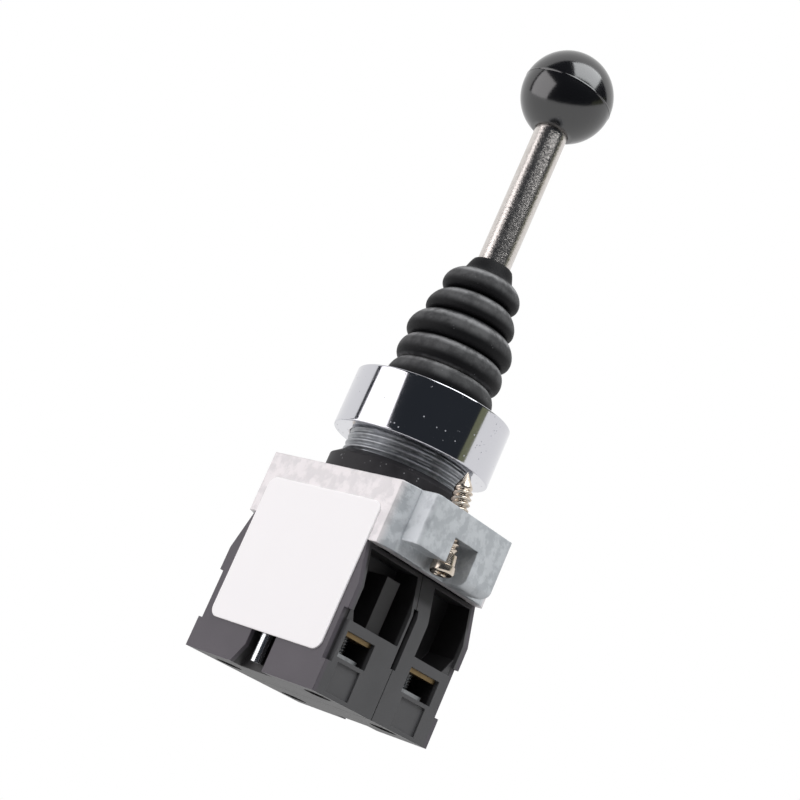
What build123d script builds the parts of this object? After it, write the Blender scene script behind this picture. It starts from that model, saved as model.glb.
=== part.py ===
from build123d import *
import os

# Industrial joystick: a lever switch for a 30 mm panel hole, with two contact blocks behind it.
# Sizes are in millimetres. Z runs along the lever at rest, and Z = 0 is the front of the panel,
# where the ring nut sits. The pivot runs along X, so the lever tilts towards -Y or +Y.

# Lever: a plated rod with a ball knob
rod_diameter = 8.2
ball_diameter = 22.6
ball_centre_z = 97.0
ball_mouth_diameter = 13.0
ball_socket_depth = 12.0

# Pivot, rocker and lock nut
pivot_z = -14.0
pivot_pin_diameter = 4.0
pivot_running_clearance = 0.05
rocker_hub_radius = 5.0
rocker_boss_radius = 6.0
rocker_boss_rise = 8.0
rod_end_above_pivot = 3.2
rocker_foot_drop = 5.0
rocker_nose_radius = 1.5
rocker_arm_half_width = 3.5
rocker_arm_thickness = 3.0
lock_nut_across_flats = 13.0
lock_nut_height = 4.0

# Centring springs on the pivot pin
spring_wire_radius = 0.45
spring_coil_radius = 3.2
spring_coil_gap = 0.1
spring_room = 3.8
spring_tab_clearance = 0.05
spring_tab_drop = 8.0
spring_leg_drop = 6.4
spring_tip_reach = 1.3
spring_turns = 2.5

# Threaded neck
neck_diameter = 30.0
neck_wall = 2.8
neck_top_z = 8.7
neck_spigot_step = 1.0
pivot_lug_thickness = 3.4
pivot_lug_half_width = 4.2
pivot_lug_rise = 6.0
pivot_pin_end_gap = 0.3

# Ring nut and the boot clamp under its lip
nut_wall = 4.1
nut_height = 14.2
nut_lip_reach = 1.6
nut_lip_thickness = 2.7
nut_edge_round = 1.6
boot_flange_thickness = 1.2
boot_flange_clearance = 0.2

# Panel seal
panel_gap = 5.2
seal_height = 6.0
seal_wall = 2.1
seal_bevel_height = 1.5
seal_bevel_width = 1.9

# Rubber boot: radius and height of each crest and groove above the panel, from the bottom up
boot_wall = 1.2
boot_root_step = 2.8
boot_root_z = 15.2
boot_crests = [(12.8, 17.9), (12.8, 23.5), (12.8, 30.0), (10.8, 36.8), (9.5, 43.2)]
boot_grooves = [(10.4, 20.6), (10.5, 26.9), (9.0, 34.1), (7.6, 40.6)]
boot_shoulder = (6.2, 47.0)
boot_collar_radius = 5.5
boot_top_z = 51.7
boot_grip_clearance = 0.05

# Die-cast mounting base
base_height = 14.5
base_half_length = 23.3
base_flat_start_x = -20.8
base_flat_end_x = 21.4
base_corner_y = 15.6
base_roof = 3.0
base_side_wall = 3.0
base_end_wall = 3.8
ear_reach = 5.3
ear_inner_y = -15.0
ear_outer_y = 12.6
ear_web = 6.0
ear_pocket_start_y = -5.3
ear_pocket_end_y = 2.9
ear_pocket_setback = 1.0
ear_wall_depth = 11.7
ear_round = 1.2

# Tilted fixing screws with cone points
fixing_screw_diameter = 4.0
fixing_screw_tilt = 11.0
fixing_screw_offset = 0.5
fixing_screw_y = -2.9
fixing_screw_reach = 8.9
fixing_screw_cone = 3.2
fixing_screw_length_below = 12.4
fixing_head_diameter = 5.6
fixing_head_height = 2.0
fixing_collar_diameter = 4.8
fixing_collar_height = 2.6

# Contact blocks: the left one is built, and the right one is the same moulding turned round
block_length = 43.2
block_height = 33.6
block_pair_width = 39.2
block_seam = 0.2
block_foot_height = 7.0
block_waist_top = 18.5
block_waist_inset = 1.2
block_slope_start = 24.0
block_slope_run = 2.8
block_side_wall = 1.8
gap_slot_bottom = 11.7
gap_slot_top = 25.6
gap_slot_depth = 0.7
gap_slot_length = 5.0

# Contact chamber, covers and plungers
chamber_half_length = 8.5
chamber_half_width = 5.3
chamber_roof = 3.2
cover_thickness = 1.5
cover_ledge = 0.6
cover_clearance = 0.05
cover_half_length = 10.0
plunger_head_size = 8.0
plunger_head_height = 2.0
plunger_gap = 0.3
plunger_stem_size = 4.6
plunger_stem_clearance = 0.2
plunger_collar_size = 6.6
plunger_collar_height = 1.6
plunger_collar_drop = 2.8
plunger_spigot_radius = 1.6
plunger_spigot_length = 5.0

# Terminals and contacts
wire_entry_bottom = 8.5
wire_entry_height = 4.8
terminal_plate_thickness = 1.0
terminal_shelf = 2.2
terminal_plate_setback = 1.0
terminal_depth = 10.1
terminal_screw_inset = 5.4
terminal_screw_radius = 1.6
terminal_screw_head_radius = 2.9
terminal_screw_head_height = 2.4
terminal_screw_rise = 1.3
terminal_bore_radius = 3.2
thread_relief_clearance = 0.2
terminal_side_clearance = 0.1
clamp_size = 7.0
clamp_thickness = 1.0
contact_arm_half_width = 2.3
contact_inner_x = 5.0
contact_tip_x = 6.6
contact_tip_radius = 1.2
contact_tip_height = 0.6
contact_open_gap = 2.7
bridge_half_length = 8.0
bridge_half_width = 2.5
bridge_thickness = 1.0
contact_spring_radius = 3.0
contact_spring_wire = 0.35
contact_spring_turns = 6

# Ends of a block, measured across it from its outer side wall: (start, end) of each feature
open_end = {"hole": (2.7, 11.8), "cavity": (1.8, 18.1), "slab": (10.2, 14.6), "slab_setback": 3.2}
closed_end = {"hole": (4.4, 14.5), "cavity": (1.8, 14.9), "slab": (14.9, 19.2), "slab_setback": 0.0}
end_cavity_depth = 9.0
end_cavity_top = 32.4
end_slab_top = 29.2
end_gusset_size = 4.0
end_gusset_thickness = 2.2
end_panel_depth = 0.5
end_panel_margin = 0.9

# Block fixing screws in their side slots
block_screw_diameter = 2.6
block_screw_from_side = 2.0
block_screw_end = 1.6
block_screw_grip = 8.0
block_screw_clearance = 0.1
block_screw_boss_radius = 2.8
side_slot_top = 8.3
side_slot_right = 5.0
side_slot_left = 3.3
side_slot_flare = 2.4

# Label plate
label_left = -17.2
label_right = 18.2
label_bottom = 8.1
label_top = 42.0
label_thickness = 0.4
label_corner = 2.0

# Levels and places that follow from the sizes above
rod_radius = rod_diameter / 2
neck_bore_diameter = neck_diameter - 2 * neck_wall
neck_spigot_diameter = neck_diameter - 2 * neck_spigot_step
pivot_lug_x = neck_bore_diameter / 2 - pivot_lug_thickness
rocker_hub_half_width = pivot_lug_x - spring_room
nut_diameter = neck_diameter + 2 * nut_wall
nut_mouth_diameter = neck_diameter - 2 * nut_lip_reach
seal_diameter = neck_diameter + 2 * seal_wall
boot_root_radius = neck_diameter / 2 - boot_root_step
fixing_screw_x = base_half_length + fixing_screw_offset
seal_bottom_z = -panel_gap - seal_height
base_top_z = seal_bottom_z
base_bottom_z = base_top_z - base_height
roof_z = base_top_z - base_roof
block_bottom_z = base_bottom_z - block_height
block_outer_y = -block_pair_width / 2
block_inner_y = -block_seam / 2
plunger_y = -block_pair_width / 4
block_end_x = block_length / 2
terminal_screw_x = block_end_x - terminal_screw_inset
nose_y = plunger_y
nose_z = pivot_z - rocker_foot_drop
head_top_z = nose_z - rocker_nose_radius - plunger_gap
plate_bottom_z = block_bottom_z + wire_entry_bottom + wire_entry_height
plate_top_z = plate_bottom_z + terminal_plate_thickness
shelf_top_z = plate_top_z + terminal_shelf
bridge_bottom_z = plate_top_z + 2 * contact_tip_height + contact_open_gap
bridge_top_z = bridge_bottom_z + bridge_thickness
cover_top_z = block_bottom_z + cover_thickness
chamber_top_z = base_bottom_z - chamber_roof
flange_top_z = neck_top_z + boot_flange_thickness
lip_z = nut_height - nut_lip_thickness
half_turn = Rot(0, 0, 180)


def block_between(x_range, y_range, z_range):
    """Return a box from its limits on X, Y and Z."""
    (x0, x1), (y0, y1), (z0, z1) = x_range, y_range, z_range
    return Pos((x0 + x1) / 2, (y0 + y1) / 2, (z0 + z1) / 2) * Box(abs(x1 - x0), abs(y1 - y0), abs(z1 - z0))


def upright(radius, z0, z1, x=0.0, y=0.0):
    """Return an upright cylinder between two levels."""
    return Pos(x, y, (z0 + z1) / 2) * Cylinder(radius, z1 - z0)


def crosswise(radius, x0, x1, y, z):
    """Return a cylinder along X."""
    return Pos((x0 + x1) / 2, y, z) * Rot(0, 90, 0) * Cylinder(radius, x1 - x0)


def turned(outline):
    """Return the solid that a closed outline of radius and height sweeps about the lever axis."""
    return revolve(Plane.XZ * make_face(outline), Axis.Z)


def both_ways(shape):
    """Return a shape and its copy turned half round the lever axis, as one group."""
    return [shape, half_turn * shape]


def across(distance):
    """Return the Y of a distance measured from the left block's outer side wall."""
    return block_outer_y + distance


def knob():
    """Ball with a flat mouth and a blind socket for the rod."""
    radius = ball_diameter / 2
    mouth_drop = (radius**2 - (ball_mouth_diameter / 2) ** 2) ** 0.5
    mouth_z = ball_centre_z - mouth_drop
    ball = Pos(0, 0, ball_centre_z) * Sphere(radius)
    ball -= upright(radius, ball_centre_z - 2 * radius, mouth_z)
    return ball - upright(rod_radius, mouth_z, mouth_z + ball_socket_depth)


def lever_rod():
    """Straight rod from the rocker's socket to the bottom of the ball's socket."""
    radius = ball_diameter / 2
    mouth_drop = (radius**2 - (ball_mouth_diameter / 2) ** 2) ** 0.5
    top_z = ball_centre_z - mouth_drop + ball_socket_depth
    rod = upright(rod_radius, pivot_z + rod_end_above_pivot, top_z)
    return chamfer(rod.edges().group_by(Axis.Z)[0], length=0.5)


def lock_nut():
    """Thin hexagon nut that locks the rod against the rocker's boss."""
    start_z = pivot_z + rocker_boss_rise
    hexagon = RegularPolygon(lock_nut_across_flats / 2, 6, major_radius=False)
    nut = extrude(Pos(0, 0, start_z) * Rot(0, 0, 30) * hexagon, lock_nut_height)
    crown = Pos(0, 0, start_z + lock_nut_height / 2) * Cone(
        lock_nut_across_flats / 2 + lock_nut_height * 1.4, lock_nut_across_flats / 2 - 0.2, lock_nut_height
    )
    return (nut & crown) - upright(rod_radius, start_z, start_z + lock_nut_height)


def rocker():
    """Hub on the pivot pin, with a boss for the rod, two arms with round feet and two spring tabs."""
    body = crosswise(rocker_hub_radius, -rocker_hub_half_width, rocker_hub_half_width, 0, pivot_z)
    boss_bottom_z = pivot_z + spring_coil_radius + spring_wire_radius + spring_coil_gap
    body += upright(rocker_boss_radius, boss_bottom_z, pivot_z + rocker_boss_rise)
    for side in (1, -1):
        foot = Vector(0, side * nose_y, nose_z)
        arm_start = Vector(0, 0, pivot_z - rocker_foot_drop / 2)
        run = foot - arm_start
        slope = Vector(0, 1, 0).get_signed_angle(run, Vector(1, 0, 0))
        middle = (foot + arm_start) * 0.5
        arm = Pos(*middle) * Rot(slope, 0, 0) * Box(2 * rocker_arm_half_width, run.length, rocker_arm_thickness)
        body += arm
        body += crosswise(rocker_nose_radius, -rocker_arm_half_width, rocker_arm_half_width, foot.Y, foot.Z)
    tab_half = spring_coil_radius - spring_wire_radius - spring_tab_clearance
    for side in (1, -1):
        x_range = sorted((side * (rocker_hub_half_width - 1.4), side * rocker_hub_half_width))
        body += block_between(x_range, (-tab_half, tab_half), (pivot_z - spring_tab_drop, pivot_z))
    pin_hole = pivot_pin_diameter / 2 + pivot_running_clearance
    body -= crosswise(pin_hole, -2 * rocker_hub_half_width, 2 * rocker_hub_half_width, 0, pivot_z)
    socket_floor_z = pivot_z + rod_end_above_pivot
    return body - upright(rod_radius, socket_floor_z, pivot_z + rocker_boss_rise)


def pivot_pin():
    """Steel pin across the neck that the rocker turns on."""
    half = neck_spigot_diameter / 2 - pivot_pin_end_gap
    return crosswise(pivot_pin_diameter / 2, -half, half, 0, pivot_z)


def centring_spring():
    """Torsion spring beside the hub: a coil on the pin with two legs that hold both tabs."""
    wire = spring_wire_radius
    radius = spring_coil_radius
    lug_x = pivot_lug_x
    start_x = rocker_hub_half_width + wire + spring_coil_gap
    end_x = lug_x - wire - spring_coil_gap
    tip_z = pivot_z - spring_leg_drop
    leg_end_z = tip_z - wire
    coil = Helix((end_x - start_x) / spring_turns, end_x - start_x, radius)
    coil = Pos(start_x, 0, pivot_z) * Rot(0, 90, 0) * Rot(0, 0, 90) * coil
    first_leg = Line((start_x, radius, leg_end_z), (start_x, radius, pivot_z))
    last_leg = Line((end_x, -radius, pivot_z), (end_x, -radius, leg_end_z))
    path = Wire([first_leg.edge(), *coil.edges(), last_leg.edge()])
    section = Plane(origin=(start_x, radius, leg_end_z), z_dir=(0, 0, 1)) * Circle(wire)
    spring = sweep(section, path, transition=Transition.TRANSFORMED)
    tip_start = rocker_hub_half_width - spring_tip_reach
    tip_end = lug_x + spring_tip_reach
    for y in (radius, -radius):
        spring += crosswise(wire, tip_start, tip_end, y, tip_z)
    return spring


def threaded_neck():
    """Neck that goes through the panel, with a spigot in the base and two pivot lugs."""
    neck = upright(neck_diameter / 2, base_top_z, neck_top_z)
    neck += upright(neck_spigot_diameter / 2, roof_z, base_top_z)
    neck = chamfer(neck.edges().group_by(Axis.Z)[-1], length=0.8)
    neck -= upright(neck_bore_diameter / 2, roof_z, neck_top_z)
    lug_inner_x = pivot_lug_x
    lug_outer_x = neck_bore_diameter / 2 + 0.2
    tab_half = spring_coil_radius - spring_wire_radius - spring_tab_clearance
    half = pivot_lug_half_width
    for side in (1, -1):
        x_range = sorted((side * lug_inner_x, side * lug_outer_x))
        neck += block_between(x_range, (-half, half), (pivot_z, pivot_z + pivot_lug_rise))
        neck += crosswise(half, x_range[0], x_range[1], 0, pivot_z)
        neck += block_between(x_range, (-tab_half, tab_half), (pivot_z - spring_tab_drop, pivot_z))
    reach = neck_spigot_diameter / 2
    return neck - crosswise(pivot_pin_diameter / 2, -reach, reach, 0, pivot_z)


def ring_nut():
    """Smooth ring nut with rounded edges and an inner lip that holds the boot."""
    outer = nut_diameter / 2
    mouth = nut_mouth_diameter / 2
    bore = neck_diameter / 2
    round_off = nut_edge_round
    bottom_arc = RadiusArc((outer - round_off, 0), (outer, round_off), -round_off)
    top_arc = RadiusArc((outer, nut_height - round_off), (outer - round_off, nut_height), -round_off)
    outline = Polyline((outer - round_off, 0), (bore, 0), (bore, lip_z), (mouth, lip_z))
    outline += Polyline((mouth, lip_z), (mouth, nut_height), (outer - round_off, nut_height))
    outline += bottom_arc
    outline += Line((outer, round_off), (outer, nut_height - round_off))
    outline += top_arc
    return turned(outline)


def boot_clamp_washer():
    """Flat ring between the boot's flange and the nut's lip."""
    washer = upright(neck_diameter / 2, flange_top_z, lip_z)
    return washer - upright(boot_root_radius + boot_flange_clearance, flange_top_z, lip_z)


def panel_seal():
    """Black ring round the neck, bevelled on top, that the panel presses on."""
    outer = seal_diameter / 2
    bore = neck_diameter / 2
    top_z = -panel_gap
    outline = Polyline(
        (bore, seal_bottom_z),
        (outer, seal_bottom_z),
        (outer, top_z - seal_bevel_height),
        (outer - seal_bevel_width, top_z),
        (bore, top_z),
        close=True,
    )
    return turned(outline)


def boot_side(inset):
    """Return the wavy side of the boot, from its root to its shoulder, set in by a distance."""
    points = [(boot_root_radius, boot_root_z)] + boot_grooves + [boot_shoulder]
    wave = []
    for (r0, z0), (rc, zc), (r1, z1) in zip(points[:-1], boot_crests, points[1:]):
        wave.append(ThreePointArc((r0 - inset, z0), (rc - inset, zc), (r1 - inset, z1)))
    return wave


def boot():
    """Rubber bellows with a flange under the nut's lip and a collar round the rod."""
    flange_radius = neck_diameter / 2 - boot_flange_clearance
    grip = rod_radius + boot_grip_clearance
    shoulder_r, shoulder_z = boot_shoulder
    bore = boot_root_radius - boot_wall
    inner_shoulder = (shoulder_r - boot_wall, shoulder_z)
    outer_side = boot_side(0.0)
    inner_side = boot_side(boot_wall)
    outline = Polyline(
        (bore, boot_root_z),
        (bore, neck_top_z),
        (flange_radius, neck_top_z),
        (flange_radius, flange_top_z),
        (boot_root_radius, flange_top_z),
        (boot_root_radius, boot_root_z),
    )
    for edge in outer_side + inner_side:
        outline += edge
    outline += Polyline(
        (shoulder_r, shoulder_z),
        (boot_collar_radius, shoulder_z + 1.2),
        (boot_collar_radius - 0.2, boot_top_z - 0.6),
        (grip + 0.3, boot_top_z),
        (grip, boot_top_z),
        (grip, shoulder_z + 0.8),
        inner_shoulder,
    )
    return turned(outline)


def base_outline():
    """Return the outline of the base from above: a rectangle with four cut corners."""
    half_width = block_pair_width / 2
    near = [
        (base_flat_start_x, -half_width),
        (base_flat_end_x, -half_width),
        (base_half_length, -base_corner_y),
        (base_half_length, base_corner_y),
    ]
    far = [(-x, -y) for x, y in near]
    return make_face(Polyline(*near, *far, close=True))


def ear():
    """Return the ear at the +X end, which carries a tilted fixing screw."""
    tip_x = base_half_length + ear_reach
    root_x = base_half_length - ear_pocket_setback
    whole = block_between((root_x, tip_x), (ear_inner_y, ear_outer_y), (base_bottom_z, base_top_z))
    whole = fillet(whole.edges().filter_by(Axis.Z).sort_by(Axis.X)[-2:], radius=ear_round)
    far_low = whole.edges().filter_by(Axis.X).group_by(Axis.Z)[0].sort_by(Axis.Y)[-1]
    whole = fillet(far_low, radius=2 * ear_round)
    low_z = base_top_z - ear_wall_depth
    whole -= block_between((base_half_length, tip_x), (ear_inner_y, ear_pocket_start_y), (base_bottom_z, low_z))
    return whole


def ear_pocket():
    """Return the cut under the ear's web that the screw head sits in."""
    root_x = base_half_length - ear_pocket_setback
    tip_x = base_half_length + ear_reach
    y_range = (ear_pocket_start_y, ear_pocket_end_y)
    return block_between((root_x, tip_x), y_range, (base_bottom_z, base_top_z - ear_web))


def tilted(shape):
    """Place a shape that stands on the base's top at the +X fixing screw's axis."""
    return Pos(fixing_screw_x, fixing_screw_y, base_top_z) * Rot(0, -fixing_screw_tilt, 0) * shape


def mounting_base():
    """Die-cast box, open below, with a bored roof and an ear at each end."""
    base = extrude(Pos(0, 0, base_bottom_z) * base_outline(), base_height)
    for wing in both_ways(ear()):
        base += wing
    half_x = base_half_length - base_end_wall
    half_y = block_pair_width / 2 - base_side_wall
    cavity = block_between((-half_x, half_x), (-half_y, half_y), (base_bottom_z, roof_z))
    cavity = fillet(cavity.edges().filter_by(Axis.Z), radius=2)
    for boss in both_ways(upright(block_screw_boss_radius, base_bottom_z, roof_z, 0, across(block_screw_from_side))):
        cavity -= boss
    base -= cavity
    base -= upright(neck_spigot_diameter / 2, roof_z, base_top_z)
    screw_hole = tilted(upright(fixing_screw_diameter / 2, -2 * ear_web, 2 * ear_web))
    for cut in both_ways(ear_pocket()) + both_ways(screw_hole):
        base -= cut
    grip_top = base_bottom_z + block_screw_grip
    screw_y = across(block_screw_from_side)
    for cut in both_ways(upright(block_screw_diameter / 2, base_bottom_z, grip_top, 0, screw_y)):
        base -= cut
    return base


def fixing_screws():
    """Two screws through the ears, with cone points that bite the back of the panel."""
    radius = fixing_screw_diameter / 2
    cone_start = fixing_screw_reach - fixing_screw_cone
    head_top = -fixing_screw_length_below
    screw = upright(radius, head_top, cone_start)
    screw += Pos(0, 0, cone_start + fixing_screw_cone / 2) * Cone(radius, 0.2, fixing_screw_cone)
    screw += upright(fixing_collar_diameter / 2, head_top, head_top + fixing_collar_height)
    head = upright(fixing_head_diameter / 2, head_top - fixing_head_height, head_top)
    screw += fillet(head.edges().group_by(Axis.Z)[0], radius=0.5)
    return both_ways(tilted(screw))


def block_end_profile():
    """Return the side view of a block: a foot, a body and ends that slope in at the top."""
    half = block_end_x
    right = [(half, 0), (half, block_slope_start), (half - block_slope_run, block_height)]
    left = [(-x, z) for x, z in reversed(right)]
    return make_face(Polyline(*right, *left, close=True))


def end_cuts(way, end):
    """Return what is cut from one end of the left block, way being +1 or -1 along X."""
    outside = way * (block_end_x + 1)
    cavity_x = sorted((way * (block_end_x - end_cavity_depth), outside))
    floor_z = shelf_top_z
    cavity_y = (across(end["cavity"][0]), across(end["cavity"][1]))
    cavity = block_between(cavity_x, cavity_y, (floor_z, block_bottom_z + end_cavity_top))
    slab_x = sorted((way * (block_end_x - end_cavity_depth), way * (block_end_x - end["slab_setback"])))
    slab_y = (across(end["slab"][0]), across(end["slab"][1]))
    cavity -= block_between(slab_x, slab_y, (floor_z, block_bottom_z + end_slab_top))
    gusset_y = across(end["cavity"][0])
    gusset = Pos(0, gusset_y, floor_z) * make_face(
        Plane.YZ * Polyline((0, 0), (end_gusset_thickness, 0), (0, end_gusset_size), close=True)
    )
    gusset_start = way * (block_end_x - end_cavity_depth)
    gusset_solid = extrude(Pos(gusset_start, 0, 0) * gusset, end_cavity_depth - 1.0, dir=(way, 0, 0))
    cavity -= gusset_solid
    entry_x = sorted((way * (block_end_x - terminal_depth), outside))
    entry_y = (across(end["hole"][0]), across(end["hole"][1]))
    entry_z = (block_bottom_z + wire_entry_bottom, plate_top_z)
    wire_entry = block_between(entry_x, entry_y, entry_z)
    screw_y = across(sum(end["hole"]) / 2)
    screw_x = way * terminal_screw_x
    driver_bore = upright(terminal_bore_radius, block_bottom_z, entry_z[0], screw_x, screw_y)
    relief_top = plate_top_z + terminal_screw_rise + thread_relief_clearance
    relief_radius = terminal_screw_radius + thread_relief_clearance
    thread_relief = upright(relief_radius, plate_top_z, relief_top, screw_x, screw_y)
    arm_y = (plunger_y - contact_arm_half_width, plunger_y + contact_arm_half_width)
    arm_x = sorted((way * chamber_half_length, way * (block_end_x - terminal_depth)))
    arm_slot = block_between(arm_x, arm_y, (plate_bottom_z, plate_top_z))
    waist_x = sorted((way * (block_end_x - block_waist_inset), outside))
    waist_y = (block_outer_y, across(end["cavity"][0]))
    waist_z = (block_bottom_z + block_foot_height, block_bottom_z + block_waist_top)
    waist = block_between(waist_x, waist_y, waist_z)
    panel_x = sorted((way * (block_end_x - end_panel_depth), outside))
    panel_y = (entry_y[0] + end_panel_margin, entry_y[1] - end_panel_margin)
    panel_z = (block_bottom_z + end_panel_margin, entry_z[0] - end_panel_margin)
    panel = block_between(panel_x, panel_y, panel_z)
    slot_x = sorted((way * (block_end_x - gap_slot_length), outside))
    slot_z = (block_bottom_z + gap_slot_bottom, block_bottom_z + gap_slot_top)
    seam_slot = block_between(slot_x, (block_inner_y - gap_slot_depth, block_inner_y + 1), slot_z)
    return [cavity, wire_entry, driver_bore, thread_relief, arm_slot, waist, panel, seam_slot]


def side_slot():
    """Return the slot at the foot of the outer side, flared on one side, round the fixing screw."""
    depth = block_screw_from_side + block_screw_diameter / 2 + block_screw_clearance
    outline = Polyline(
        (-side_slot_left - side_slot_flare, 0),
        (side_slot_right, 0),
        (side_slot_right, side_slot_top),
        (-side_slot_left, side_slot_top),
        (-side_slot_left, side_slot_flare + 2),
        close=True,
    )
    face = Pos(0, block_outer_y, block_bottom_z) * (Plane.XZ * make_face(outline))
    return extrude(face, depth, dir=(0, 1, 0))


def contact_block():
    """Left block: a moulded box with a contact chamber, open ends and two wire entries."""
    profile = Pos(0, block_outer_y, block_bottom_z) * (Plane.XZ * block_end_profile())
    body = extrude(profile, block_inner_y - block_outer_y, dir=(0, 1, 0))
    chamber_y = (plunger_y - chamber_half_width, plunger_y + chamber_half_width)
    half = chamber_half_length
    body -= block_between((-half, half), chamber_y, (block_bottom_z, chamber_top_z))
    recess = cover_half_length + cover_clearance
    recess_width = chamber_half_width + cover_ledge + cover_clearance
    recess_y = (plunger_y - recess_width, plunger_y + recess_width)
    body -= block_between((-recess, recess), recess_y, (block_bottom_z, cover_top_z))
    hole = plunger_stem_size / 2 + plunger_stem_clearance
    body -= block_between((-hole, hole), (plunger_y - hole, plunger_y + hole), (chamber_top_z, base_bottom_z))
    for cut in end_cuts(1, open_end) + end_cuts(-1, closed_end):
        body -= cut
    body -= side_slot()
    screw_bore = block_screw_diameter / 2 + block_screw_clearance
    screw_y = across(block_screw_from_side)
    body -= upright(screw_bore, block_bottom_z + side_slot_top, base_bottom_z, 0, screw_y)
    return body


def block_cover():
    """Left block's bottom cover, which closes the contact chamber."""
    width = chamber_half_width + cover_ledge
    y_range = (plunger_y - width, plunger_y + width)
    cover = block_between((-cover_half_length, cover_half_length), y_range, (block_bottom_z, cover_top_z))
    return fillet(cover.edges().filter_by(Axis.Z), radius=0.04)


def terminal_plate(way, end):
    """Brass plate from a wire entry into the chamber, where it is a fixed contact."""
    clearance = terminal_side_clearance
    inner_x = block_end_x - terminal_depth
    outer_x = block_end_x - terminal_plate_setback
    z_range = (plate_bottom_z, plate_top_z)
    wide_y = (across(end["hole"][0]) + clearance, across(end["hole"][1]) - clearance)
    plate = block_between(sorted((way * inner_x, way * outer_x)), wide_y, z_range)
    arm_y = (plunger_y - contact_arm_half_width, plunger_y + contact_arm_half_width)
    plate += block_between(sorted((way * contact_inner_x, way * inner_x)), arm_y, z_range)
    screw_y = across(sum(end["hole"]) / 2)
    return plate - upright(terminal_screw_radius, plate_bottom_z, plate_top_z, way * terminal_screw_x, screw_y)


def terminal_screw(way, end):
    """Screw that pulls the clamp up to the plate, with its head in the bore from below."""
    clamp_bottom = block_bottom_z + wire_entry_bottom
    x = way * terminal_screw_x
    y = across(sum(end["hole"]) / 2)
    screw = upright(terminal_screw_radius, clamp_bottom, plate_top_z + terminal_screw_rise, x, y)
    head = upright(terminal_screw_head_radius, clamp_bottom - terminal_screw_head_height, clamp_bottom, x, y)
    return screw + fillet(head.edges().group_by(Axis.Z)[0], radius=0.6)


def terminal_clamp(way, end):
    """Square clamp under the plate."""
    bottom = block_bottom_z + wire_entry_bottom
    y = across(sum(end["hole"]) / 2)
    x = way * terminal_screw_x
    half = clamp_size / 2
    clamp = block_between((x - half, x + half), (y - half, y + half), (bottom, bottom + clamp_thickness))
    return clamp - upright(terminal_screw_radius, bottom, bottom + clamp_thickness, x, y)


def fixed_tip(way):
    """Silver tip on the chamber end of a terminal plate."""
    return upright(contact_tip_radius, plate_top_z, plate_top_z + contact_tip_height, way * contact_tip_x, plunger_y)


def plunger():
    """Left plunger: a head under the rocker's foot, a square stem, a collar and a spring spigot."""
    half = plunger_head_size / 2
    head_bottom = head_top_z - plunger_head_height
    y_range = (plunger_y - half, plunger_y + half)
    body = block_between((-half, half), y_range, (head_bottom, head_top_z))
    body = fillet(body.edges().filter_by(Axis.Z), radius=1)
    stem = plunger_stem_size / 2
    stem_y = (plunger_y - stem, plunger_y + stem)
    body += block_between((-stem, stem), stem_y, (bridge_top_z, head_bottom))
    collar = plunger_collar_size / 2
    collar_top = chamber_top_z - plunger_collar_drop
    collar_y = (plunger_y - collar, plunger_y + collar)
    body += block_between((-collar, collar), collar_y, (collar_top - plunger_collar_height, collar_top))
    spigot_bottom = bridge_bottom_z - plunger_spigot_length
    return body + upright(plunger_spigot_radius, spigot_bottom, bridge_top_z, 0, plunger_y)


def contact_bridge():
    """Left moving contact: a brass strip across the plunger."""
    y_range = (plunger_y - bridge_half_width, plunger_y + bridge_half_width)
    x_range = (-bridge_half_length, bridge_half_length)
    bridge = block_between(x_range, y_range, (bridge_bottom_z, bridge_top_z))
    return bridge - upright(plunger_spigot_radius, bridge_bottom_z, bridge_top_z, 0, plunger_y)


def moving_tips():
    """Two silver tips under the left bridge."""
    low = bridge_bottom_z - contact_tip_height
    return [upright(contact_tip_radius, low, bridge_bottom_z, x, plunger_y) for x in (contact_tip_x, -contact_tip_x)]


def contact_spring():
    """Spring between the left cover and the bridge."""
    wire = contact_spring_wire
    height = bridge_bottom_z - cover_top_z - 2 * wire
    path = Helix(height / contact_spring_turns, height, contact_spring_radius)
    section = Plane(origin=path @ 0, z_dir=path % 0) * Circle(wire)
    return Pos(0, plunger_y, cover_top_z + wire) * sweep(section, path)


def block_screw():
    """Screw up the left block's side slot into the mounting base."""
    top = base_bottom_z + block_screw_grip
    return upright(block_screw_diameter / 2, block_bottom_z + block_screw_end, top, 0, across(block_screw_from_side))


def label_plate():
    """Bare plate on the side, across the base and the left block."""
    z_range = (block_bottom_z + label_bottom, block_bottom_z + label_top)
    y_range = (block_outer_y - label_thickness, block_outer_y)
    plate = block_between((label_left, label_right), y_range, z_range)
    return fillet(plate.edges().filter_by(Axis.Y), radius=label_corner)


def at_each_terminal(make):
    """Make a piece for both ends of the left block and for the right block, turned half round."""
    pieces = []
    for way, end in ((1, open_end), (-1, closed_end)):
        pieces += both_ways(make(way, end))
    return pieces


def fixed_tips():
    """Silver tips on all four terminal plates."""
    return both_ways(fixed_tip(1)) + both_ways(fixed_tip(-1))


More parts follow.
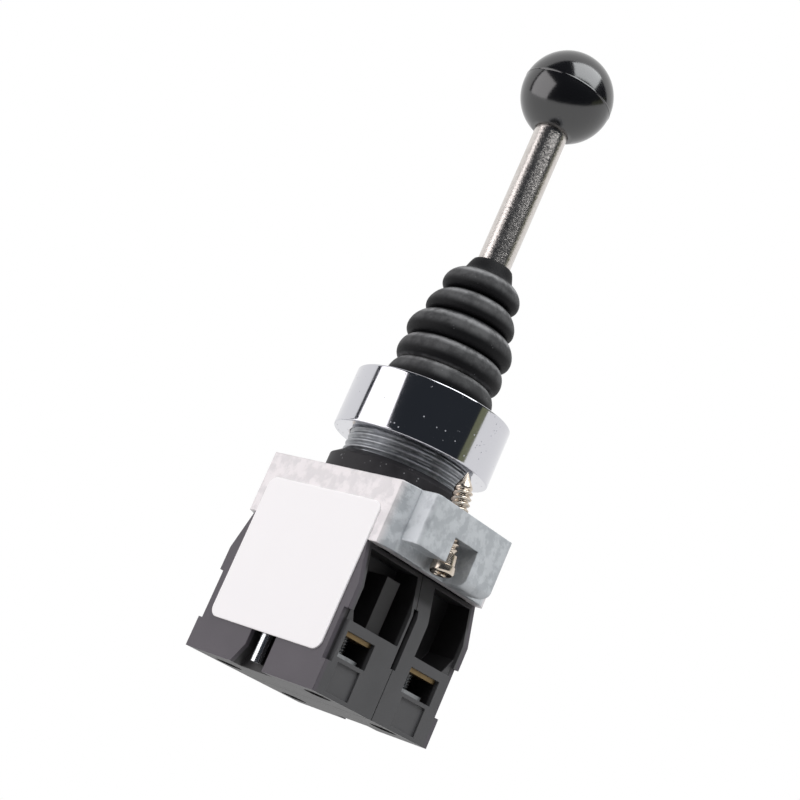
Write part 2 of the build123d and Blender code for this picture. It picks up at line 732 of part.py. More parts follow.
def build_nodes():
    """Return every sub-part by its node name."""
    nodes = {
        "knob": knob(),
        "lever_rod": lever_rod(),
        "lock_nut": lock_nut(),
        "rocker": rocker(),
        "pivot_pin": pivot_pin(),
        "centring_springs": both_ways(centring_spring()),
        "threaded_neck": threaded_neck(),
        "ring_nut": ring_nut(),
        "boot_clamp_washer": boot_clamp_washer(),
        "panel_seal": panel_seal(),
        "boot": boot(),
        "mounting_base": mounting_base(),
        "fixing_screws": fixing_screws(),
        "terminal_plates": at_each_terminal(terminal_plate),
        "terminal_screws": at_each_terminal(terminal_screw),
        "terminal_clamps": at_each_terminal(terminal_clamp),
        "fixed_contact_tips": fixed_tips(),
        "block_screws": both_ways(block_screw()),
        "label_plate": label_plate(),
    }
    left_pieces = {
        "contact_block": contact_block(),
        "block_cover": block_cover(),
        "plunger": plunger(),
        "contact_bridge": contact_bridge(),
        "bridge_tips": moving_tips(),
        "contact_spring": contact_spring(),
    }
    for name, piece in left_pieces.items():
        solids = piece if isinstance(piece, list) else [piece]
        nodes[name + "_left"] = piece
        nodes[name + "_right"] = [half_turn * solid for solid in solids]
    return nodes


os.makedirs("parts", exist_ok=True)
for node, piece in build_nodes().items():
    shape = Compound(children=piece) if isinstance(piece, list) and len(piece) > 1 else piece
    shape = shape[0] if isinstance(shape, list) else shape
    export_step(shape, f"parts/{node}.step")
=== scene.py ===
# %% [markdown]
# # Industrial joystick
# A lever switch for a 30 mm panel hole: a ball on a plated rod, a rubber boot, a chromed ring nut on
# a threaded neck, a cast base and two contact blocks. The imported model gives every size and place.
# This lesson dresses it: it works out the finer surfaces with numpy, and paints all of them.

import math

import bmesh
import bpy
import numpy as np
from mathutils import Matrix, Vector


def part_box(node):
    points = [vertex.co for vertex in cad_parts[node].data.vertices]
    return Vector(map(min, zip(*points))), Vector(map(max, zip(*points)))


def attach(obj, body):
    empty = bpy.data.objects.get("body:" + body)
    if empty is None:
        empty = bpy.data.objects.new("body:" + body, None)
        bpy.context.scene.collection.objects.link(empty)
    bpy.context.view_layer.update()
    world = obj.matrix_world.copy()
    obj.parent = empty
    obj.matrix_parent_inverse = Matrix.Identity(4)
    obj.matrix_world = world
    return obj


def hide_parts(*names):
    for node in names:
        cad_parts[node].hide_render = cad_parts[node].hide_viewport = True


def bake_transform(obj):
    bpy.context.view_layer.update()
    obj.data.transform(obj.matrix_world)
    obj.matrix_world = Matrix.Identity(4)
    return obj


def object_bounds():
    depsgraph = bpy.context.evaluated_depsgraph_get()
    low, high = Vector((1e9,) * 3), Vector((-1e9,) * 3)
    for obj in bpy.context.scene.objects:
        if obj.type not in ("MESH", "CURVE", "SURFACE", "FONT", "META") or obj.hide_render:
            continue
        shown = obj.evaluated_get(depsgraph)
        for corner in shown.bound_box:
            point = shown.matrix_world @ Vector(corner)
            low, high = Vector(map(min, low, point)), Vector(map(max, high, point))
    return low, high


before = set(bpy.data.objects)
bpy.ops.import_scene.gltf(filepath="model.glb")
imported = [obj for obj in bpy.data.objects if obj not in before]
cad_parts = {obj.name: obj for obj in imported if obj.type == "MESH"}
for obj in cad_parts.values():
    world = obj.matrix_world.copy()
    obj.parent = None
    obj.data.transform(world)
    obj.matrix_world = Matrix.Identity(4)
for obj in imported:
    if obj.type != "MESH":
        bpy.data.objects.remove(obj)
cad_low, cad_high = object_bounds()
print("loaded", len(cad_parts), "nodes, box in m:", [round(v, 4) for v in cad_high - cad_low])

# %% [markdown]
# Sizes here are in metres, because Blender's unit is the metre. One name for a millimetre keeps the
# numbers readable. The levels of the base, neck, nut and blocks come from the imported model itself.

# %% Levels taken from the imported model
MM = 0.001
turn = 2 * math.pi
base_high, nut_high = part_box("mounting_base")[1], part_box("ring_nut")[1]
neck_low, neck_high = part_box("threaded_neck")
block_low, block_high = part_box("contact_block_left")
print("base top", round(base_high.z / MM, 2), "nut top", round(nut_high.z / MM, 2), "mm")

# %% [markdown]
# Most of the new pieces are turned parts, so their surface is a grid of points: one direction runs
# along the profile and the other round the axis. One function turns any such grid into a mesh. It
# joins points that fall together at a pole, and marks only real corners as sharp.


# %% A mesh from a grid of points
merge_distance, sliver_edge = 0.0005 * MM, 0.0002 * MM
sharp_angle = math.radians(38)


def skin(name, points, wrap_rows=False, wrap_columns=True):
    """Mesh of a grid of points: a quad between each four neighbours, and across a seam that wraps."""
    rows, columns = points.shape[:2]
    row = np.arange(rows if wrap_rows else rows - 1)[:, None]
    column = np.arange(columns if wrap_columns else columns - 1)[None, :]
    next_row, next_column = (row + 1) % rows, (column + 1) % columns
    corners = (row * columns + column, row * columns + next_column)
    corners += (next_row * columns + next_column, next_row * columns + column)
    quads = np.stack(corners, axis=-1).reshape(-1, 4)
    mesh = bpy.data.meshes.new(name)
    mesh.from_pydata(points.reshape(-1, 3).tolist(), [], quads.tolist())
    return finished(name, mesh)


def finished(name, mesh):
    """Object of a mesh: doubles merged, faces pointing outwards, smooth but for sharp corners."""
    work = bmesh.new()
    work.from_mesh(mesh)
    bmesh.ops.remove_doubles(work, verts=work.verts, dist=merge_distance)
    bmesh.ops.dissolve_degenerate(work, edges=work.edges, dist=sliver_edge)
    bmesh.ops.recalc_face_normals(work, faces=work.faces)
    work.to_mesh(mesh)
    work.free()
    mesh.shade_smooth()
    mesh.set_sharp_from_angle(angle=sharp_angle)
    piece = bpy.data.objects.new(name, mesh)
    bpy.context.scene.collection.objects.link(piece)
    return piece


def joined(name, pieces):
    """One object that holds the meshes of several pieces."""
    work = bmesh.new()
    for piece in pieces:
        work.from_mesh(piece.data)
        bpy.data.objects.remove(piece)
    mesh = bpy.data.meshes.new(name)
    work.to_mesh(mesh)
    work.free()
    return finished(name, mesh)


print("grid, finishing and joining helpers ready")

# %% [markdown]
# A profile is a list of corners, each with a small radius, because nothing real has a perfectly
# sharp edge and the thin highlight along an edge is what makes metal look like metal. Each corner
# becomes a short curve, and two extra points beside it keep the flat faces flat in the shading.


# %% Rounded profiles and turned surfaces
def rounded(corners, steps=7):
    """Closed profile from (radius, height, rounding) corners in mm.

    Each corner P is replaced by P + a t (1 - s)^2 + b t s^2 for s from 0 to 1, where a and b point
    along its two sides and t is the rounding.
    """
    table = np.array(corners, float)
    place, rounding = table[:, :2] * MM, table[:, 2:] * MM
    flat = 1.3 * rounding
    back, ahead = np.roll(place, 1, 0) - place, np.roll(place, -1, 0) - place
    back /= np.linalg.norm(back, axis=1)[:, None]
    ahead /= np.linalg.norm(ahead, axis=1)[:, None]
    s = np.linspace(0, 1, steps)[None, :, None]
    curve = place[:, None] + rounding[:, None] * (back[:, None] * (1 - s) ** 2 + ahead[:, None] * s**2)
    first, last = place + back * flat, place + ahead * flat
    return np.concatenate([first[:, None], curve, last[:, None]], axis=1).reshape(-1, 2)


def turned(profile, steps):
    """Grid of a profile of (radius, height) turned about the lever axis: (r cos a, r sin a, z)."""
    angle = np.linspace(0, turn, steps, endpoint=False)[None, :]
    r, z = profile[:, :1], profile[:, 1:]
    return np.stack([r * np.cos(angle), r * np.sin(angle), z + 0 * angle], axis=-1)


small_square = [(1, 0, 0.2), (3, 0, 0.2), (3, 2, 0.2), (1, 2, 0.2)]
print("rounded profile of a 2 mm square has", len(rounded(small_square)), "points")

# %% [markdown]
# The camera stands where the photograph was taken from: low, in front of the corner between the
# label and the ear, and rolled so that the lever leans to the right. Its distance and lens were
# solved from measured points of the photograph and the model's sizes.

# %% Camera
camera_azimuth = math.radians(46.20)
camera_distance, camera_height = 0.40461, -0.08472
camera_pitch, camera_yaw = math.radians(13.36), math.radians(-1.04)
camera_roll = math.radians(23.86)
focal_length, sensor_width, near_clip = 80.93, 36, 0.01

outward = Vector((math.sin(camera_azimuth), -math.cos(camera_azimuth), 0))
sideways = Vector((math.cos(camera_azimuth), math.sin(camera_azimuth), 0))
upright = Vector((0, 0, 1))
level = math.cos(camera_pitch)
forward = -outward * level * math.cos(camera_yaw) + sideways * level * math.sin(camera_yaw)
forward += upright * math.sin(camera_pitch)
forward.normalize()
straight_right = forward.cross(upright).normalized()
straight_up = straight_right.cross(forward)
camera_right = straight_right * math.cos(camera_roll) + straight_up * math.sin(camera_roll)
camera_up = straight_up * math.cos(camera_roll) - straight_right * math.sin(camera_roll)

lens = bpy.data.cameras.new("camera")
lens.lens = focal_length
lens.sensor_width = sensor_width
lens.clip_start = near_clip
camera = bpy.data.objects.new("camera", lens)
bpy.context.scene.collection.objects.link(camera)
axes = Matrix((camera_right, camera_up, -forward)).transposed().to_4x4()
camera.matrix_world = Matrix.Translation(outward * camera_distance + upright * camera_height) @ axes
bpy.context.scene.camera = camera
print("camera at", [round(v / MM, 1) for v in camera.location], "mm")

# %% [markdown]
# Shader maths reads best as ordinary arithmetic. A small class wraps a socket, so that an expression
# such as 1 - mask * 0.5 adds the Math nodes by itself. A second class is one finish: it owns a
# Principled shader, and one method adds any other node to it.


# %% Shader maths and finishes
class Wire:
    """A shader socket. Python's operators on it add Math nodes, from the left or the right."""

    def __init__(self, finish, socket):
        self.finish, self.socket = finish, socket

    def math(self, operation, *others):
        values = dict(enumerate((self, *others)))
        return self.finish.node("Math", {"operation": operation}, values)

    def __add__(self, other):
        return self.math("ADD", other)

    def __mul__(self, other):
        return self.math("MULTIPLY", other)

    def __lt__(self, other):
        return self.math("LESS_THAN", other)

    def __rsub__(self, other):
        return self * -1 + other

    __radd__ = __add__
    __rmul__ = __mul__


class Finish:
    """A material with a Principled shader. Constants are set on its sockets by name."""

    def __init__(self, name, **constants):
        self.material = bpy.data.materials.new(name)
        self.material.use_nodes = True
        self.tree = self.material.node_tree
        self.shader = self.tree.nodes["Principled BSDF"]
        self.surface(**constants)

    def feed(self, node, values):
        for key, value in values.items():
            if isinstance(value, Wire):
                self.tree.links.new(value.socket, node.inputs[key])
            else:
                socket = node.inputs[key]
                socket.default_value = (*value, 1) if socket.type == "RGBA" else value

    def node(self, kind, settings=None, values=None, output=0):
        node = self.tree.nodes.new("ShaderNode" + kind)
        for key, value in (settings or {}).items():
            setattr(node, key, value)
        self.feed(node, values or {})
        return Wire(self, node.outputs[output])

    def surface(self, **values):
        self.feed(self.shader, {key.replace("_", " "): value for key, value in values.items()})


def blank(finish):
    """Object coordinates, in metres, which stay with the piece."""
    return finish.node("TexCoord", output="Object")


def coordinate(finish, axis):
    """One of the object coordinates: how far a point lies along X, Y or Z, in metres."""
    return finish.node("SeparateXYZ", {}, {"Vector": blank(finish)}, axis)


def noise(finish, grain, detail=3, roughness=0.5):
    """Soft random value from 0 to 1 whose lumps are about grain mm wide."""
    values = {"Vector": blank(finish), "Detail": detail, "Roughness": roughness}
    return finish.node("TexNoise", {}, {**values, "Scale": 1 / (grain * MM)})


def step(finish, value, low, high):
    """0 below low, 1 above high, and smooth between."""
    values = {"Value": value, "From Min": low, "From Max": high}
    return finish.node("MapRange", {"interpolation_type": "SMOOTHSTEP"}, values)


def mix(finish, share, low, high):
    """Colour between low and high."""
    return finish.node("Mix", {"data_type": "RGBA"}, {"Factor": share, "A": low, "B": high}, "Result")


def specks(finish, spacing, size, share):
    """1 on round specks about size mm across, in a share of the cells of a grid spacing mm wide."""
    values = {"Vector": blank(finish), "Scale": 1 / (spacing * MM)}
    far = finish.node("TexVoronoi", {}, values, "Distance")
    cell = finish.node("TexVoronoi", {}, values, "Color")
    pick = finish.node("SeparateColor", {}, {"Color": cell}, "Red")
    return (1 - step(finish, far, 0.3 * size / spacing, 0.6 * size / spacing)) * (pick < share)


def relief(finish, height, depth, corner=0.0):
    """Normal of a bumped surface: height runs from 0 to 1, depth and the corners' radius are in mm."""
    values = {"Height": height, "Distance": depth * MM, "Strength": 1.0}
    if corner:
        values["Normal"] = finish.node("Bevel", {"samples": 6}, {"Radius": corner * MM}, "Normal")
    return finish.node("Bump", {}, values, "Normal")


def clouded_metal(name, grain, detail, dark, light, smooth, rough):
    """Metal in soft clouds: its colour goes from dark to light and its roughness rises by rough."""
    metal = Finish(name, Metallic=1.0)
    cloud = noise(metal, grain, detail)
    metal.surface(Base_Color=mix(metal, cloud, dark, light), Roughness=smooth + cloud * rough)
    return metal


def paint(finish, *targets):
    """Give a finish to new pieces or, by name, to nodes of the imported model."""
    for target in targets:
        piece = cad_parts[target] if isinstance(target, str) else target
        if piece.material_slots:
            for place in piece.material_slots:
                place.material = finish.material
        else:
            piece.data.materials.append(finish.material)


print("shader helpers ready")

# %% [markdown]
# The studio is simple. The background is white for the camera and for reflections, and a dimmer
# white fills the shadows.

# %% World
world = bpy.data.worlds.new("studio")
bpy.context.scene.world = world
world.use_nodes = True
bpy.context.scene.view_settings.view_transform = "Standard"
fill_level, backdrop_level = 0.355, 1.0
nodes, links = world.node_tree.nodes, world.node_tree.links
rays = nodes.new("ShaderNodeLightPath")
seen = rays.outputs["Is Camera Ray"]
for kind in ("Is Glossy Ray", "Is Transmission Ray"):
    both = nodes.new("ShaderNodeMath")
    both.operation = "ADD"
    links.new(seen, both.inputs[0])
    links.new(rays.outputs[kind], both.inputs[1])
    seen = both.outputs[0]
strength = nodes.new("ShaderNodeMapRange")
strength.inputs["To Min"].default_value = fill_level
strength.inputs["To Max"].default_value = backdrop_level
links.new(seen, strength.inputs["Value"])
links.new(strength.outputs[0], nodes["Background"].inputs["Strength"])
nodes["Background"].inputs["Color"].default_value = (1, 1, 1, 1)
print("backdrop at", backdrop_level, "and fill at", fill_level)

# %% [markdown]
# The floor is pale and keeps the shadow. It is clear from below, because this camera looks up from
# under it, and clear to reflections, because the chrome shows another table. Light fades with
# distance, so the floor also glows a little, and more so further out, which keeps it white there.

# %% Floor
floor_size, floor_gap = 3.0, 0.05 * MM
near_glow, far_glow, glow_start, glow_end = (0.6, 0.6, 0.6), (1, 1, 1), 0.15, 0.80
floor_finish = Finish("pale_floor", Base_Color=(0.45, 0.45, 0.45), Roughness=0.9)
place = {"Vector": blank(floor_finish)}
away = floor_finish.node("VectorMath", {"operation": "LENGTH"}, place, "Value")
floor_glow = mix(floor_finish, step(floor_finish, away, glow_start, glow_end), near_glow, far_glow)
floor_finish.surface(Emission_Color=floor_glow, Emission_Strength=1.0)
clear = floor_finish.node("BsdfTransparent")
below = floor_finish.node("NewGeometry", output="Backfacing")
looked_at = floor_finish.node("LightPath", output="Is Camera Ray")
top = Wire(floor_finish, floor_finish.shader.outputs[0])
one_sided = floor_finish.node("MixShader", {}, {0: 1 - (1 - below) * looked_at, 1: top, 2: clear})
floor_finish.feed(floor_finish.tree.nodes["Material Output"], {"Surface": one_sided})
span = np.array([-floor_size / 2, floor_size / 2])
east, north = np.meshgrid(span, span)
ground = np.stack([east, north, np.full_like(east, cad_low.z - floor_gap)], axis=-1)
floor = skin("floor", ground, wrap_columns=False)
if floor.data.polygons[0].normal.z < 0:
    floor.data.flip_normals()
paint(floor_finish, floor)
print("floor at", round(cad_low.z / MM, 2), "mm")

# %% [markdown]
# Chrome shows the room and not itself, so the room is built as the photographer had it. The joystick
# lay on a white table in a dark room, with one large soft light on its left and one high on its right.
# Where the ball's reflection changes from dark to white is the far edge of the table, and from that
# line the table's tilt against the camera was worked out. All directions here are told from the table.

# %% Directions of the studio
table_tilt, table_lean = math.radians(22.8), math.radians(9.5)
level_up = camera_up * math.cos(table_lean) + camera_right * math.sin(table_lean)
studio_up = level_up * math.cos(table_tilt) - forward * math.sin(table_tilt)
studio_front = (studio_up * forward.dot(studio_up) - forward).normalized()
studio_right = studio_up.cross(studio_front)


def toward(angle, rise):
    """Direction (front cos a + right sin a) cos e + up sin e, for an angle and a rise in degrees."""
    a, e = math.radians(angle), math.radians(rise)
    across = studio_front * math.cos(a) + studio_right * math.sin(a)
    return across * math.cos(e) + studio_up * math.sin(e)


print("table's up in the lever's frame:", [round(v, 3) for v in studio_up])

# %% [markdown]
# A soft light is a plain rectangle that faces the object. Its brightness is given as a multiple of
# white, because that is what its reflection shows, and the power that Blender wants follows from it.


# %% Soft lights
def soft_light(name, direction, distance, width, height, radiance, tint):
    """Area light whose face looks at the object. Its power is radiance * width * height * pi."""
    light = bpy.data.lights.new(name, "AREA")
    light.shape = "RECTANGLE"
    light.size, light.size_y = width, height
    light.energy = radiance * width * height * math.pi
    light.color = tint
    holder = bpy.data.objects.new(name, light)
    across = studio_up.cross(direction).normalized()
    facing = Matrix((across, direction.cross(across), direction)).transposed().to_4x4()
    holder.matrix_world = Matrix.Translation(direction * distance) @ facing
    bpy.context.scene.collection.objects.link(holder)


left_size, high_size = {"width": 0.98, "height": 0.82}, {"width": 0.74, "height": 0.90}
left_tint, high_tint = (1.0, 0.975, 0.985), (0.97, 0.99, 1.0)
soft_light("left_softbox", toward(-80, 24), 0.95, **left_size, radiance=2.2, tint=left_tint)
soft_light("high_softbox", toward(101, 60), 0.95, **high_size, radiance=4.3, tint=high_tint)
print("lights:", [light.name for light in bpy.data.lights])

# %% [markdown]
# The dark room is half a dome in front of the object, from the table's far edge upwards. Only
# reflections see it, so it takes no light away, and it leaves the white backdrop behind the object
# free. On the right a white card stands close by, with an olive strip above it, as in the chrome.


# %% Dark room
def reflected(name, colour, points):
    """Glowing card that only reflections see."""
    card = skin(name, points, wrap_columns=False)
    glow = Finish(name, Base_Color=(0, 0, 0), Roughness=1.0, Specular_IOR_Level=0.0)
    glow.surface(Emission_Color=colour, Emission_Strength=1.0)
    paint(glow, card)
    for kind in ("camera", "diffuse", "shadow", "transmission"):
        setattr(card, "visible_" + kind, False)


front, right, up = (np.array(axis) for axis in (studio_front, studio_right, studio_up))


def dome(spans, rolls, distance):
    """Part of a sphere: front cos p + (right cos q + up sin q) sin p, p off the front, q round it."""
    p = np.radians(np.linspace(*spans, 49))[:, None, None]
    q = np.radians(np.linspace(*rolls, 49))[None, :, None]
    return (front * np.cos(p) + (right * np.cos(q) + up * np.sin(q)) * np.sin(p)) * distance


def wall(angles, heights, distance):
    """Part of a cylinder: (front cos a + right sin a) d + up h."""
    a = np.radians(np.linspace(*angles, 25))[:, None, None]
    return (front * np.cos(a) + right * np.sin(a)) * distance + up * np.array(heights)[None, :, None]


room_shape = dome(spans=(0, 114), rolls=(0, 180), distance=1.6)
white_shape = wall(angles=(60, 125), heights=(-0.30, 0.062), distance=0.55)
olive_shape = wall(angles=(68, 110), heights=(0.062, 0.132), distance=0.54)
reflected("dark_room", (0.026, 0.030, 0.036), room_shape)
reflected("white_card", (1, 1, 1), white_shape)
reflected("olive_card", (0.20, 0.21, 0.13), olive_shape)
print("dark room set")

# %% [markdown]
# The ring nut is a turned and chromed ring, polished like a mirror. A plain lathe profile gives it,
# with soft outer edges and a lip that holds the boot. A mirror shows every flaw in a mesh, so it is
# turned in many steps.

# %% Ring nut
nut_outer, nut_mouth, nut_bore, nut_lip = nut_high.x / MM, 13.4, 15.02, 2.7
nut_top, nut_round = nut_high.z / MM, 0.4
nut_corners = [
    (nut_bore, 0, 0.3),
    (nut_outer, 0, nut_round),
    (nut_outer, nut_top, nut_round),
    (nut_mouth, nut_top, 0.5),
    (nut_mouth, nut_top - nut_lip, 0.15),
    (nut_bore, nut_top - nut_lip, 0.15),
]
ring_nut = skin("chromed_ring_nut", turned(rounded(nut_corners), 256), wrap_rows=True)
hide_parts("ring_nut")
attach(ring_nut, "housing")
print("ring nut:", len(ring_nut.data.polygons), "faces")

# %% [markdown]
# The neck carries a real screw thread. Its radius changes with height and angle together: the crest
# climbs one pitch for each turn. Below the thread a plain spigot goes into the base, and inside, two
# lugs hold the pivot pin.

# %% Threaded neck
neck_crest, neck_root, neck_pitch, thread_fade = 14.95, 14.30, 1.5, 0.8
neck_bore, spigot_radius = 12.2, 14.0


def thread_wave(turns):
    """Height of a thread's flank after some turns: 0 at the root, 1 at the crest, flatter at the root."""
    return (0.5 - 0.5 * np.cos(turn * turns)) ** 0.8


def threaded_tube():
    """Grid of the neck, with radius = root + depth * wave(z / pitch - angle / turn) on its outside."""
    angle = np.linspace(0, turn, 224, endpoint=False)[None, :]
    low, step_level, high = neck_low.z / MM, base_high.z / MM, neck_high.z / MM
    z = np.arange(step_level, high, neck_pitch / 11)[:, None]
    fade = np.clip((high - z) / thread_fade, 0, 1)
    outer = neck_root + (neck_crest - neck_root) * fade * thread_wave(z / neck_pitch - angle / turn)
    rest = [(neck_root, high), (neck_bore, high), (neck_bore, low)]
    rest += [(spigot_radius, low), (spigot_radius, step_level)]
    rest = np.array(rest)[:, :, None] + 0 * angle[None]
    radius = np.concatenate([outer, rest[:, 0]])
    height = np.concatenate([z + 0 * angle, rest[:, 1]])
    return np.stack([radius * np.cos(angle), radius * np.sin(angle), height], axis=-1) * MM


neck = skin("neck_tube", threaded_tube(), wrap_rows=True)
print("neck:", len(neck.data.polygons), "faces, pitch", neck_pitch, "mm")

# %% [markdown]
# Each lug is a flat plate with a round bottom, a hole for the pin and a tab for the centring spring.
# Seen from the pin, every direction meets its edge once, so its outline is a single function of the
# angle: the furthest of a circle and two boxes.

# %% Pivot lugs inside the neck
pivot_height, pin_radius = -14.0, 2.0
lug_inner, lug_outer, lug_half, lug_rise = 8.8, 12.4, 4.2, 6.0
tab_half, tab_drop, nothing = 2.7, 8.0, 0.01


def box_reach(angle, half, rise, drop):
    """Distance from the pin to the side of a box half wide each way, rise above it and drop below."""
    across, along = np.abs(np.cos(angle)) + 1e-9, np.sin(angle)
    return np.minimum(half / across, np.where(along > 0, rise, drop) / (np.abs(along) + 1e-9))


def lug(side):
    """Closed grid of one lug: its outer edge, then its hole, at its two faces."""
    angle = np.linspace(0, turn, 120, endpoint=False)
    web = box_reach(angle, lug_half, lug_rise, nothing)
    tab = box_reach(angle, tab_half, nothing, tab_drop)
    edge = np.maximum(np.maximum(web, tab), lug_half)
    hole = np.full_like(edge, pin_radius)
    reach = np.stack([edge, edge, hole, hole])
    depth = side * np.array([lug_inner, lug_outer, lug_outer, lug_inner])[:, None]
    across, along = reach * np.cos(angle), pivot_height + reach * np.sin(angle)
    return np.stack([depth + 0 * across, across, along], axis=-1) * MM


lugs = [skin("lug", lug(side), wrap_rows=True) for side in (1, -1)]
neck = joined("neck_with_thread", [neck, *lugs])
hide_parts("threaded_neck")
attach(neck, "housing")
print("neck and lugs:", len(neck.data.polygons), "faces")

# %% [markdown]
# The boot is a moulded rubber bellows: fat round folds with narrow creases between them. Each fold
# is half an ellipse from one crease to the next, and a light smoothing rounds the creases, as rubber
# does. The inside follows the outside at the thickness of the wall.

# %% Rubber boot
fold_crests = [(13.0, 17.9), (13.0, 23.5), (13.0, 30.0), (10.9, 36.8), (9.6, 43.0)]
fold_creases = [(12.2, 15.2), (10.9, 20.6), (10.5, 26.9), (9.0, 34.1), (7.1, 40.6), (6.3, 46.6)]
boot_wall, boot_flange_top = 1.2, 9.9


def folds():
    """Profile of all folds: from crease to crease, r = crease + (crest - crease) sin t for t to pi."""
    t = np.linspace(0, math.pi, 26)[None, :]
    share = (1 - np.cos(t)) / 2
    start, end = np.array(fold_creases[:-1])[:, :, None], np.array(fold_creases[1:])[:, :, None]
    crest = np.array(fold_crests)[:, :, None]
    base = start + (end - start) * share[:, None]
    lean = crest[:, 1] - (start[:, 1] + end[:, 1]) / 2
    r = base[:, 0] + (crest[:, 0] - (start[:, 0] + end[:, 0]) / 2) * np.sin(t)
    z = base[:, 1] + lean * np.sin(t)
    return np.stack([r, z], axis=-1).reshape(-1, 2)


def smoothed(line, width=5):
    """A line averaged over a few neighbours, with its two ends kept."""
    kernel = np.ones(width) / width
    padded = np.concatenate([line[:1]] * (width // 2) + [line] + [line[-1:]] * (width // 2))
    return np.stack([np.convolve(padded[:, k], kernel, "valid") for k in (0, 1)], axis=-1)


outside = smoothed(folds())
inside = outside[::-1] - np.array([boot_wall, 0.0])
collar = [(6.05, 47.1), (5.85, 47.6), (5.55, 48.5), (5.25, 49.3), (4.95, 49.9)]
collar += [(4.6, 50.15), (4.3, 50.1), (4.15, 49.9), (4.15, 47.6)]
foot_inner, foot_outer, foot_low = 11.0, 14.7, neck_high.z / MM
foot = [(foot_inner, foot_low), (foot_outer, foot_low), (foot_outer, boot_flange_top)]
foot += [(fold_creases[0][0], boot_flange_top)]
boot_profile = np.concatenate([outside, collar, inside, foot]) * MM
boot = skin("rubber_boot", turned(boot_profile, 144), wrap_rows=True)
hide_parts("boot")
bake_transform(boot)
print("boot:", len(boot.data.polygons), "faces")

# %% [markdown]
# The knob is moulded in two halves, so a thin line of flash runs round it, not quite square to the
# lever. The ball is a grid of rings, closer together near that line, and the line lifts the surface
# a little where a point is near the parting plane.

# %% Knob
knob_low, knob_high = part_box("knob")
ball_radius = (knob_high.x - knob_low.x) / 2 / MM
ball_height, mouth_radius = knob_high.z / MM - ball_radius, 5.2
socket_radius, socket_depth = 4.12, 12.0
seam_tilt, seam_lift, seam_width, seam_level, seam_step = math.radians(5), 0.07, 0.16, 0.3, 0.03
socket_chamfer = 0.15


def ball_surface():
    """Grid of the ball, mouth and socket. r = R + lift * exp(-(d / width)^2) at d off the parting."""
    mouth_angle = math.degrees(math.asin(mouth_radius / ball_radius))
    polar = [np.linspace(0, 77, 40), np.linspace(78, 102, 90), np.linspace(103, 180 - mouth_angle, 34)]
    polar = np.radians(np.concatenate(polar))[:, None]
    angle = np.linspace(0, turn, 200, endpoint=False)[None, :]
    x, y, z = np.sin(polar) * np.cos(angle), np.sin(polar) * np.sin(angle), np.cos(polar) + 0 * angle
    lean = x * sideways.x + y * sideways.y
    distance = ball_radius * (z * math.cos(seam_tilt) + lean * math.sin(seam_tilt)) - seam_level
    flash = seam_lift * np.exp(-((distance / seam_width) ** 2)) - seam_step * (distance < 0)
    radius = ball_radius + flash
    ball = np.stack([x * radius, y * radius, z * radius + ball_height], axis=-1)
    mouth = ball_height - ball_radius * math.cos(math.radians(mouth_angle))
    inner = [(socket_radius + socket_chamfer, mouth), (socket_radius, mouth + socket_chamfer)]
    inner += [(socket_radius, mouth + socket_depth), (0, mouth + socket_depth)]
    return np.concatenate([ball * MM, turned(np.array(inner) * MM, 200)])


knob = skin("ball_knob", ball_surface())
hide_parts("knob")
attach(knob, "lever")
print("knob:", len(knob.data.polygons), "faces")

# %% [markdown]
# The lever is plain round rod, plated and tumbled. It is turned again with rounded ends, because the
# reflections along it have to run straight.

# %% Lever rod
rod_radius, foot_round, top_round = 4.1, 0.5, 0.3
rod_low, rod_high = (corner.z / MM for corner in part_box("lever_rod"))
rod_corners = [(0, rod_low, 0), (rod_radius, rod_low, foot_round)]
rod_corners += [(rod_radius, rod_high, top_round), (0, rod_high, 0)]
rod = skin("plated_rod", turned(rounded(rod_corners), 128), wrap_rows=True)
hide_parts("lever_rod")
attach(rod, "lever")
print("rod:", round(rod_high - rod_low, 1), "mm long")

# %% [markdown]
# The two fixing screws are ordinary machine screws with cone points, screwed up through the ears
# until they bite the back of the panel. One grid makes the whole screw: a cone, a thread, a collar,
# a head, and a cross that sinks into the head's face.

# %% Screws with a cross in the head
screw_chamfer, head_edge, collar_edge = 0.15, 0.2, 0.15
cross_reach, cross_width, cross_sink = 0.62, 0.17, 0.55


def cross_depth(r, angle, reach, width, depth):
    """Depth of a cross recess at a point of the head: full inside two bars that taper inwards."""
    x, y = np.abs(r * np.cos(angle)), np.abs(r * np.sin(angle))
    near, far = np.minimum(x, y), np.maximum(x, y)
    inside_bar = 1 / (1 + np.exp((near - width * (1.15 - 0.4 * far / reach)) / 0.035))
    inside_end = 1 / (1 + np.exp((far - reach) / 0.06))
    return depth * inside_bar * inside_end


